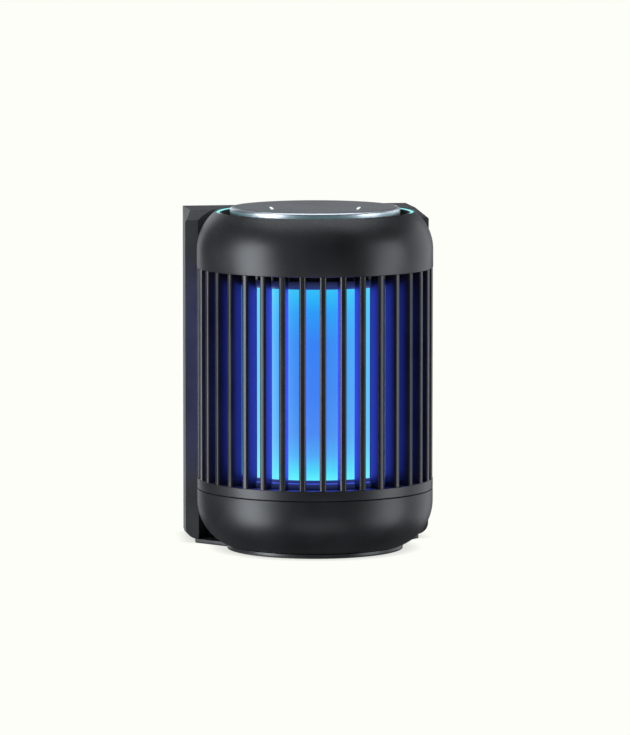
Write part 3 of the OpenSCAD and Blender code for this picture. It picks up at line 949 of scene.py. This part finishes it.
@dataclass(frozen=True)
class Lantern:
    """Sizes of the lantern's shells, read from the frame, in metres."""

    body_r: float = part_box("top_cap")[1][0]
    shoulder_r: float = 24 * MM
    wall: float = 2.4 * MM
    cap_low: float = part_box("top_cap")[0][2]
    rim_r: float = 49.5 * MM
    tray_low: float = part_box("tray_bowl")[0][2]
    neck_top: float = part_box("tray_bowl")[1][2]
    band_low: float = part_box("guard_band")[0][2]
    band_top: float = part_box("guard_band")[1][2]
    fin_count: int = 36
    spokes: int = 6

    @property
    def arc_r(self) -> float:
        """Radius of the centre line that the shoulder's arc turns round."""
        return self.body_r - self.shoulder_r

    @property
    def inner_arc(self) -> float:
        """Radius of the shoulder's inner arc."""
        return self.shoulder_r - self.wall


SIZES = Lantern()


@dataclass
class Dock:
    """The wall and desk dock behind the lantern, with its base, port and flap."""

    shop: Paintshop
    edge: float = 0.9 * MM
    port_at: tuple[float, float, float] = (59.3257, 50.0, 24.0)
    port_turn: float = math.radians(6.106)

    def build(self) -> None:
        """Finishes the dock's parts and builds its rubber flap."""
        self.shop.paint_nodes(Finish.DOCK, "dock_shell")
        self.shop.paint_nodes(Finish.COVER, "dock_back_cover")
        self.shop.paint_nodes(Finish.MAGNET, "dock_magnets")
        self.shop.paint_nodes(Finish.GOLD, "dock_contact_pins")
        self.shop.paint_nodes(Finish.BLACK, "dock_pin_block")
        self.shop.paint_nodes(Finish.GREEN_BOARD, "dock_board")
        self.shop.paint_nodes(Finish.SCREW, "dock_port")
        self.shop.paint_nodes(Finish.PAINTED, "base_plate")
        self.shop.paint_nodes(Finish.RUBBER, "base_pad")
        self.shop.paint_nodes(Finish.WIRE, "flap_pin")
        soften(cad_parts["dock_shell"], self.edge, 3)
        soften(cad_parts["dock_back_cover"], 0.4 * MM)
        soften(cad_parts["base_plate"], 0.25 * MM)
        for node in ("dock_pin_block", "dock_contact_pins", "dock_magnets"):
            soften(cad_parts[node], 0.15 * MM)
        self._flap()

    def _flap(self) -> None:
        """Builds the flap in its own frame: a pillowed plate, its knuckle and a finger notch."""
        spin = Matrix.Rotation(self.port_turn, 4, "Z")
        port = Vector(self.port_at) * MM
        thick, near, far, half_height = 1.2, -7.5, 6.5, 3.7
        notch_out, notch_low, notch_high, notch_half = 0.22, -7.2, -6.2, 1.8
        knuckle_x, knuckle_y, knuckle_r, knuckle_steps = -0.9, 6.8, 1.1, 32
        mesh = bmesh.new()
        plate = eased([(-thick, near, 0.3), (0.0, near, 0.6), (0.0, far, 0.15), (-thick, far, 0.15)], 4)
        notch = eased([(-0.1, notch_low, 0.1), (notch_out, notch_low, 0.15),
                       (notch_out, notch_high, 0.15), (-0.1, notch_high, 0.1)], 2)
        knuckle = [(knuckle_x + knuckle_r * math.cos(a), knuckle_y + knuckle_r * math.sin(a))
                   for a in (2 * math.pi * k / knuckle_steps for k in range(knuckle_steps))]
        for plan, half in ((plate, half_height), (notch, notch_half), (knuckle, half_height)):
            add_prism(mesh, [(x * MM, y * MM) for x, y in plan], -half * MM, half * MM)
        mesh.transform(Matrix.Translation(port) @ spin)
        flap = finish_mesh("rubber_flap", mesh, 40.0)
        soften(flap, 0.12 * MM)
        mount_piece(self.shop, flap, Finish.RUBBER, "flap", "port_flap")


@dataclass
class Fasteners:
    """Screws whose heads are looked at: a domed rim round a cross recess, over a plain shank."""

    shop: Paintshop
    rings: int = 32

    def build(self) -> None:
        """Builds the screws of the dock's cover and of its base."""
        low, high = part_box("dock_cover_screws")
        head = 3.0 * MM
        xs = (low[0] + head, high[0] - head)
        zs = (low[2] + head, high[2] - head)
        outward = Matrix.Rotation(math.radians(-90), 4, "X")
        back = high[1]
        spots = [Matrix.Translation((x, back, z)) @ outward for x in xs for z in zs]
        self._group("cover_screws", spots, head, 1.1 * MM, 1.2 * MM, back - low[1], "dock_cover_screws")
        low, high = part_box("base_screws")
        head = 2.4 * MM
        down = Matrix.Rotation(math.radians(180), 4, "X")
        feet = ((-48, 38), (48, 38), (-34, 61.5), (34, 61.5))
        spots = [Matrix.Translation((x * MM, y * MM, low[2])) @ down for x, y in feet]
        self._group("foot_screws", spots, head, 0.6 * MM, 1.05 * MM, high[2] - low[2], "base_screws")

    def _group(self, name: str, spots: list[Matrix], head: float, thick: float, shank: float, length: float,
               node: str) -> None:
        """Builds one set of equal screws.

        Args:
            name: The piece's name.
            spots: Frame of each screw, whose +Z points out of its head.
            head: Radius of the head.
            thick: Height of the head.
            shank: Radius of the shank.
            length: Height of the whole screw.
            node: The node that the set replaces.
        """
        whole = bmesh.new()
        for spot in spots:
            one = self._screw(head, thick, shank, length)
            one.transform(spot)
            data = bpy.data.meshes.new("screw")
            one.to_mesh(data)
            one.free()
            whole.from_mesh(data)
            bpy.data.meshes.remove(data)
        piece = finish_mesh(name, whole, 30.0)
        mount_piece(self.shop, piece, Finish.SCREW, "dock", node)

    def _screw(self, head: float, thick: float, shank: float, length: float) -> bmesh.types.BMesh:
        """Builds one screw with its head's top at the origin.

        Args:
            head: Radius of the head.
            thick: Height of the head.
            shank: Radius of the shank.
            length: Height of the whole screw.

        Returns:
            The screw's mesh.
        """
        mesh = bmesh.new()
        inner, deep, slot_half = head * 0.62, thick * 0.55, head * 0.13
        add_lathe(mesh, [
            (0.0, -length), (shank * 0.6, -length), (shank, -length + shank * 0.6), (shank, -thick),
            (head, -thick), (head, -thick * 0.35), (head * 0.95, -thick * 0.12), (head * 0.8, 0.0),
            (inner, 0.0), (inner, -deep), (0.0, -deep)], self.rings)
        corner = math.asin(slot_half / inner)
        steps = 6
        sweep = math.pi / 2 - 2 * corner
        plan = [(slot_half, slot_half)]
        plan += [(inner * math.cos(corner + sweep * k / steps), inner * math.sin(corner + sweep * k / steps))
                 for k in range(steps + 1)]
        for quarter in range(4):
            add_prism(mesh, plan, -deep, 0.0, math.pi / 2 * quarter + 0.4)
        return mesh


@dataclass
class Tray:
    """The dead-insect tray: bowl, seal and foot ring."""

    shop: Paintshop

    def build(self) -> None:
        """Builds the bowl and finishes its seal and foot."""
        s = SIZES
        arc_z = 24.2496 * MM
        low = math.degrees(math.asin((s.tray_low - arc_z) / s.shoulder_r))
        in_low = math.degrees(math.asin((s.tray_low + s.wall - arc_z) / s.inner_arc))
        part = 30.2 * MM
        neck, neck_in, lip = 54 * MM, 51.5 * MM, 0.35 * MM
        foot_in, foot_out, foot_top = 39.4 * MM, 42.6 * MM, s.tray_low + 0.9 * MM
        groove_r, groove_low, groove_high = 52.5 * MM, 31.3 * MM, 33.3 * MM
        outline = [(0.0, s.tray_low), (foot_in, s.tray_low), (foot_in, foot_top),
                   (foot_out, foot_top), (foot_out, s.tray_low)]
        outline += arc((s.arc_r, arc_z), s.shoulder_r, low, 0, 40)
        outline += [(s.body_r, part - lip), (s.body_r - lip * 0.3, part - lip * 0.3), (s.body_r - lip, part),
                    (neck, part), (neck, groove_low), (groove_r, groove_low), (groove_r, groove_high),
                    (neck, groove_high), (neck, s.neck_top), (neck_in, s.neck_top),
                    (neck_in, part - 0.8 * MM),
                    (56.2 * MM, arc_z + 1.6 * MM)]
        outline += arc((s.arc_r, arc_z), s.inner_arc, 0, in_low, 32)
        outline += [(0.0, s.tray_low + s.wall)]
        bowl = lathe("tray_bowl_shell", outline)
        mount_piece(self.shop, bowl, Finish.SHELL, "tray", "tray_bowl")
        self.shop.paint_nodes(Finish.SILICONE, "tray_seal")
        self.shop.paint_nodes(Finish.RUBBER, "tray_foot")


@dataclass
class Guard:
    """The bladed guard: band with its spokes, blades and top ring, with the shock grid inside."""

    shop: Paintshop

    def build(self) -> None:
        """Builds the band and blades and finishes the grid."""
        self._band()
        self._blades()
        self.shop.paint_nodes(Finish.BLADE, "guard_top_ring")
        self.shop.paint_nodes(Finish.INSULATOR, "grid_ring_lower", "grid_ring_upper")
        self.shop.paint_nodes(Finish.WIRE, "grid_wires_live", "grid_wires_return")

    def _band(self) -> None:
        """Builds the band, its hub ring and the spokes between them."""
        s = SIZES
        flange, flange_in, ease = 34.0 * MM, 48.6 * MM, 0.35 * MM
        socket, hub_out, hub_in = 54.3 * MM, 40 * MM, 30 * MM
        spoke_in, spoke_out, spoke_half = 38 * MM, 49.4 * MM, 2 * MM
        mesh = bmesh.new()
        add_lathe(mesh, eased([
            (s.body_r, s.band_low, ease), (s.body_r, s.band_top, 0.5 * MM),
            (flange_in, s.band_top, 0.3 * MM), (flange_in, flange, 0.3 * MM),
            (socket, flange, 0.0), (socket, s.band_low, 0.2 * MM)]))
        add_lathe(mesh, eased([
            (hub_out, flange, 0.3 * MM), (hub_out, s.band_top, 0.0), (hub_in, s.band_top, 0.3 * MM),
            (hub_in, flange, 0.3 * MM)]))
        for k in range(s.spokes):
            plan = [(spoke_in, -spoke_half), (spoke_out, -spoke_half),
                    (spoke_out, spoke_half), (spoke_in, spoke_half)]
            add_prism(mesh, plan, flange, s.band_top - 0.02 * MM, math.radians(90 + 360 / s.spokes * k))
        band = finish_mesh("guard_band_shell", mesh)
        mount_piece(self.shop, band, Finish.SHELL, "lantern_head", "guard_band")

    def _blades(self) -> None:
        """Builds the blades: a flat front with bevelled edges, tapering towards the axis."""
        s = SIZES
        half, inner_half, bevel, deep = 1.6 * MM, 1.2 * MM, 0.7 * MM, 8 * MM
        inner, outer = s.body_r - deep, s.body_r
        front = outer - 0.02 * MM
        plan = eased([
            (inner, -inner_half, 0.5 * MM), (outer - bevel, -half, 0.25 * MM),
            (front, -half + bevel, 0.3 * MM), (front, half - bevel, 0.3 * MM),
            (outer - bevel, half, 0.25 * MM), (inner, inner_half, 0.5 * MM)], 3)
        mesh = bmesh.new()
        for k in range(s.fin_count):
            add_prism(mesh, plan, s.band_top, s.cap_low, math.radians(5 + 360 / s.fin_count * k))
        blades = finish_mesh("guard_blades", mesh, 50.0)
        mount_piece(self.shop, blades, Finish.BLADE, "lantern_head", "guard_fins")


@dataclass
class LightColumn:
    """The frosted tube with its seat, cap, heat sink and strips."""

    shop: Paintshop

    def build(self) -> None:
        """Builds the tube and finishes its fittings."""
        low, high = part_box("lamp_tube")
        wall = 2 * MM
        outline = eased([(high[0], low[2], 0.2 * MM), (high[0], high[2], 0.2 * MM),
                         (high[0] - wall, high[2], 0.2 * MM), (high[0] - wall, low[2], 0.2 * MM)], 2)
        tube = lathe("frosted_tube", outline)
        mount_piece(self.shop, tube, Finish.TUBE, "lantern_head", "lamp_tube")
        self.shop.paint_nodes(Finish.HOLDER, "lamp_seat", "lamp_cap")
        self.shop.paint_nodes(Finish.HEAT_SINK, "led_column")
        self.shop.paint_nodes(Finish.LED_BOARD, "led_strips")
        for node in ("lamp_seat", "lamp_cap"):
            soften(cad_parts[node], 0.2 * MM)


@dataclass
class CapAssembly:
    """The domed cap with the electronics, cells and switch inside it."""

    shop: Paintshop

    def build(self) -> None:
        """Builds the cap shell and the light ring and finishes everything inside."""
        self._shell()
        self._light_ring()
        self._spring()
        shop = self.shop
        shop.paint_nodes(Finish.BLACK, "cap_bulkhead", "battery_holder", "button_switch", "disc_well")
        shop.paint_nodes(Finish.SCREW, "bulkhead_screws", "board_screws", "holding_plates")
        shop.paint_nodes(Finish.CELL, "battery_cells")
        shop.paint_nodes(Finish.TAPE, "high_voltage_coil")
        shop.paint_nodes(Finish.GREEN_BOARD, "main_board")
        shop.paint_nodes(Finish.GOLD, "contact_pads")
        shop.paint_nodes(Finish.LED_BOARD, "ring_led_board")
        soften(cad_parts["disc_well"], 0.15 * MM)

    def _shell(self) -> None:
        """Builds the cap with a small bead at its lower edge and an eased rim."""
        s = SIZES
        arc_z = s.cap_low + 9 * MM
        cap_in = s.body_r - s.wall
        rim_top = math.degrees(math.acos((s.rim_r - s.arc_r) / s.shoulder_r))
        rim_in = math.degrees(math.acos((s.rim_r - s.arc_r) / s.inner_arc))
        well, ledge, ledge_r = 164.2 * MM, 162.8 * MM, 45 * MM
        ledge_a = math.degrees(math.asin((well - arc_z) / s.inner_arc))
        ledge_b = math.degrees(math.asin((ledge - arc_z) / s.inner_arc))
        ease = 0.45 * MM
        outline = [(cap_in, s.cap_low), (s.body_r - ease, s.cap_low),
                   (s.body_r - ease * 0.3, s.cap_low + ease * 0.3), (s.body_r, s.cap_low + ease)]
        outline += arc((s.arc_r, arc_z), s.shoulder_r, 0, rim_top - 1.0, 48)
        outline += [(s.rim_r + 0.12 * MM, arc_z + s.shoulder_r * math.sin(math.radians(rim_top)) - 0.12 * MM)]
        outline += arc((s.arc_r, arc_z), s.inner_arc, rim_in, ledge_a, 6)
        outline += [(ledge_r, well), (ledge_r, ledge)]
        outline += arc((s.arc_r, arc_z), s.inner_arc, ledge_b, 0, 24)
        cap = lathe("cap_shell", outline)
        mount_piece(self.shop, cap, Finish.SHELL, "lantern_head", "top_cap")

    def _light_ring(self) -> None:
        """Builds the glowing ring with a domed top."""
        low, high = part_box("light_ring")
        high = high - Vector((0.0, 0.0, 0.2 * MM))
        inner = 47.8 * MM
        crown = 0.35 * MM
        outline = [(inner, low[2]), (high[0], low[2]), (high[0], high[2] - crown)]
        middle, half = (inner + high[0]) / 2, (high[0] - inner) / 2
        outline += [(middle + half * math.cos(a), high[2] - crown + crown * math.sin(a))
                    for a in (math.pi * k / 8 for k in range(1, 8))]
        outline += [(inner, high[2] - crown)]
        ring = lathe("glowing_ring", outline)
        mount_piece(self.shop, ring, Finish.RING, "lantern_head", "light_ring")

    def _spring(self) -> None:
        """Builds the return spring as a real helix with closed ends."""
        low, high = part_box("return_spring")
        wire = 0.45 * MM
        radius = high[0] - wire
        first, last = low[2] + wire, high[2] - wire
        turns, steps, around = 4.0, 48, 10
        closed, rising = 0.12, 0.76
        mesh = bmesh.new()
        count = int(turns * steps)
        rings: list[list[bmesh.types.BMVert]] = []
        for i in range(count + 1):
            t = i / count
            angle = 2 * math.pi * turns * t
            rise = min(1.0, max(0.0, (t - closed) / rising))
            height = first + (last - first) * rise
            out = Vector((math.cos(angle), math.sin(angle), 0.0))
            centre = out * radius + Vector((0, 0, height))
            turn = (2 * math.pi * k / around for k in range(around))
            rim = (out * math.cos(b) + Vector((0, 0, 1)) * math.sin(b) for b in turn)
            rings.append([mesh.verts.new(centre + spoke * wire) for spoke in rim])
        for one, two in zip(rings, rings[1:]):
            for k in range(around):
                n = (k + 1) % around
                mesh.faces.new((one[k], one[n], two[n], two[k]))
        mesh.faces.new(list(reversed(rings[0])))
        mesh.faces.new(rings[-1])
        spring = finish_mesh("coiled_spring", mesh)
        mount_piece(self.shop, spring, Finish.WIRE, "lantern_head", "return_spring")
        height = high[2] - low[2]
        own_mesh(spring)


@dataclass
class ControlDisc:
    """The push disc: slate face, bright trim and two lit marks."""

    shop: Paintshop
    mark_turn: float = math.radians(-9)
    mark_lean: float = math.radians(5)

    def build(self) -> None:
        """Builds the face, the trim and the marks."""
        low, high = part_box("control_disc")
        edge, top = high[0], high[2]
        under = 169 * MM
        plunger = 4 * MM
        brow = 0.25 * MM
        rim = eased([(plunger, low[2], 0.4 * MM), (plunger, under, 0.3 * MM), (edge, under, 0.0),
                     (edge, top - brow, 0.1 * MM), (edge - brow, top, 0.15 * MM)])
        outline = [(0.0, low[2]), *rim, (0.0, top)]
        face = lathe("disc_face", outline)
        mount_piece(self.shop, face, Finish.SLATE, "disc", "control_disc")
        self._trim()
        self._marks(top)

    def _trim(self) -> None:
        """Builds the trim ring: a straight skirt, a rounded shoulder and a fine inner lip."""
        low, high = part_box("disc_trim")
        outer, top = high[0], high[2]
        inner, shoulder, lip = 40.75 * MM, 1.25 * MM, 0.3 * MM
        outline = [(inner, low[2]), (outer - 0.15 * MM, low[2]), (outer, low[2] + 0.15 * MM)]
        outline += arc((outer - shoulder, top - shoulder), shoulder, 0, 82, 14)
        outline += [(inner + lip, top), (inner + lip * 0.6, top - 0.12 * MM), (inner, top - 0.12 * MM)]
        trim = lathe("trim_ring", outline, 256)
        mount_piece(self.shop, trim, Finish.TRIM, "disc", "disc_trim")

    def _marks(self, top: float) -> None:
        """Builds the two lit marks as round-ended bars.

        Args:
            top: Height of the disc's face.
        """
        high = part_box("indicator_bars")[1]
        mesh = bmesh.new()
        half, reach, across, forward = 0.6 * MM, 5.4 * MM, 21.6 * MM, -10 * MM
        plan = [(half * math.cos(a), -reach + half * math.sin(a))
                for a in (math.pi + math.pi * k / 10 for k in range(11))]
        plan += [(half * math.cos(a), reach + half * math.sin(a))
                 for a in (math.pi * k / 10 for k in range(11))]
        for side in (-1, 1):
            place = Matrix.Rotation(self.mark_turn, 3, "Z") @ Vector((side * across, forward, 0))
            spin = Matrix.Rotation(self.mark_turn - side * self.mark_lean, 3, "Z")
            turned = [spin @ Vector((x, y, 0)) + place for x, y in plan]
            add_prism(mesh, [(v.x, v.y) for v in turned], top - 0.1 * MM, high[2])
        marks = finish_mesh("lit_marks", mesh)
        mount_piece(self.shop, marks, Finish.MARK, "disc", "indicator_bars")


# ---------------------------------------------------------------- studio


@dataclass(frozen=True)
class Softbox:
    """One soft light aimed at the object."""

    name: str
    azimuth: float
    elevation: float
    distance: float
    width: float
    height: float
    power: float
    colour: Colour = (1.0, 1.0, 1.0)

    def hang(self, aim: Vector) -> None:
        """Adds the light to the scene.

        Args:
            aim: Point that it faces.
        """
        data = bpy.data.lights.new(self.name, "AREA")
        data.shape = "RECTANGLE"
        data.size, data.size_y = self.width, self.height
        data.energy = self.power
        data.color = self.colour
        lamp = bpy.data.objects.new(self.name, data)
        lamp.visible_camera = False
        back = direction(self.azimuth, self.elevation)
        lamp.location = aim + back * self.distance
        lamp.rotation_mode = "QUATERNION"
        lamp.rotation_quaternion = (-back).to_track_quat("-Z", "Y")
        bpy.context.scene.collection.objects.link(lamp)


def direction(azimuth: float, elevation: float) -> Vector:
    """Finds the way towards a viewer.

    Args:
        azimuth: Degrees round from the front.
        elevation: Degrees up.

    Returns:
        The unit vector.
    """
    a, e = math.radians(azimuth), math.radians(elevation)
    return Vector((math.sin(a) * math.cos(e), -math.cos(a) * math.cos(e), math.sin(e)))


@dataclass
class Studio:
    """Camera, floor, surround and soft lights."""

    azimuth: float = -8.9
    elevation: float = 6.1
    distance: float = 3.1
    lens: float = 303.67
    aim: tuple[float, float, float] = (0.0, 0.0, 0.0905)

    def build(self) -> None:
        """Sets up the whole studio."""
        scene = bpy.context.scene
        scene.view_settings.view_transform = "Standard"
        self._camera(scene)
        self._surround(scene)
        self._floor()
        self._lights()

    def _camera(self, scene: bpy.types.Scene) -> None:
        """Creates the camera.

        Args:
            scene: The scene that gets it.
        """
        data = bpy.data.cameras.new("studio_camera")
        data.sensor_width = 36.0
        data.lens = self.lens
        data.clip_end = 100.0
        camera = bpy.data.objects.new("studio_camera", data)
        back = direction(self.azimuth, self.elevation)
        camera.location = Vector(self.aim) + back * self.distance
        camera.rotation_mode = "QUATERNION"
        camera.rotation_quaternion = (-back).to_track_quat("-Z", "Y")
        scene.collection.objects.link(camera)
        scene.camera = camera

    @staticmethod
    def _surround(scene: bpy.types.Scene) -> None:
        """Makes the surround pale to the camera and dim to everything else.

        Args:
            scene: The scene that gets the world.
        """
        world = bpy.data.worlds.new("pale_surround")
        world.use_nodes = True
        bench = Bench(world.node_tree)
        background = next(n for n in world.node_tree.nodes if n.type == "BACKGROUND")
        path = bench.add("ShaderNodeLightPath")
        tone = bench.blend(path.outputs["Is Camera Ray"], (0.07, 0.07, 0.072), screen(253, 254, 248))
        bench.feed(background, Color=tone, Strength=1.0)
        scene.world = world

    @staticmethod
    def _floor() -> None:
        """Lays the pale floor, whose own glow hides all real shading; the contact shadow is painted into that
        glow from ambient occlusion.
        """
        mesh = bmesh.new()
        bmesh.ops.create_grid(mesh, x_segments=1, y_segments=1, size=30.0)
        floor = finish_mesh("studio_floor", mesh)
        material, bench, shader = fresh_material("studio_floor")
        path = bench.add("ShaderNodeLightPath")
        # Painted contact shadow: ambient occlusion darkens the floor's glow where the object is near.
        near = bench.add("ShaderNodeAmbientOcclusion", samples=8)
        near.inputs["Distance"].default_value = 0.007
        contact = bench.spread(near.outputs["AO"], 0.0, 0.9)
        shade = bench.blend(contact, screen(214, 214, 210), screen(253, 254, 248))
        lit = bench.add("ShaderNodeEmission")
        bench.feed(lit, Color=shade)
        bench.feed(shader, Base_Color=(0.06, 0.06, 0.06), Roughness=0.9)
        shader.inputs["Specular IOR Level"].default_value = 0.0
        mix = bench.add("ShaderNodeMixShader")
        output = next(n for n in bench.tree.nodes if n.type == "OUTPUT_MATERIAL")
        bench.tree.links.new(path.outputs["Is Camera Ray"], mix.inputs[0])
        bench.tree.links.new(shader.outputs[0], mix.inputs[1])
        bench.tree.links.new(lit.outputs[0], mix.inputs[2])
        bench.tree.links.new(mix.outputs[0], output.inputs[0])
        floor.data.materials.append(material)
        floor.visible_diffuse = False
        floor.visible_glossy = False
        floor.visible_shadow = False

    def _lights(self) -> None:
        """Hangs the soft lights."""
        aim = Vector(self.aim)
        cool = (0.9, 0.95, 1.0)
        for light in (
            Softbox("left_softbox", self.azimuth - 64, -5, 1.4, 0.66, 1.6, 28.0, cool),
            Softbox("right_softbox", self.azimuth + 78, -5, 1.6, 0.9, 1.75, 17.0, cool),
            Softbox("side_softbox", self.azimuth + 132, 0, 1.6, 1.2, 1.4, 6.0, cool),
            Softbox("left_back_softbox", self.azimuth - 158, 4, 1.6, 0.7, 1.2, 2.6, cool),
            Softbox("back_softbox", self.azimuth + 178, 10, 1.8, 1.6, 0.9, 0.9, cool),
            Softbox("top_softbox", self.azimuth, 92, 1.2, 1.6, 1.0, 9.0, cool),
            Softbox("low_softbox", self.azimuth + 6, -38, 1.5, 1.2, 0.8, 2.4, cool),
        ):
            light.hang(aim)


# ---------------------------------------------------------------- build


def main() -> None:
    """Builds the studio and the object, piece by piece."""
    logging.basicConfig(level=logging.INFO, format="%(name)s: %(message)s")
    studio = Studio()
    studio.build()
    LOG.info("studio ready")
    shop = Paintshop(math.radians(studio.azimuth))
    LOG.info("finishes mixed")
    for kind in (Dock, Fasteners, Tray, Guard, LightColumn, CapAssembly, ControlDisc):
        part = kind(shop)
        part.build()
        LOG.info("%s built", type(part).__name__)


if __name__ == "__main__":
    main()
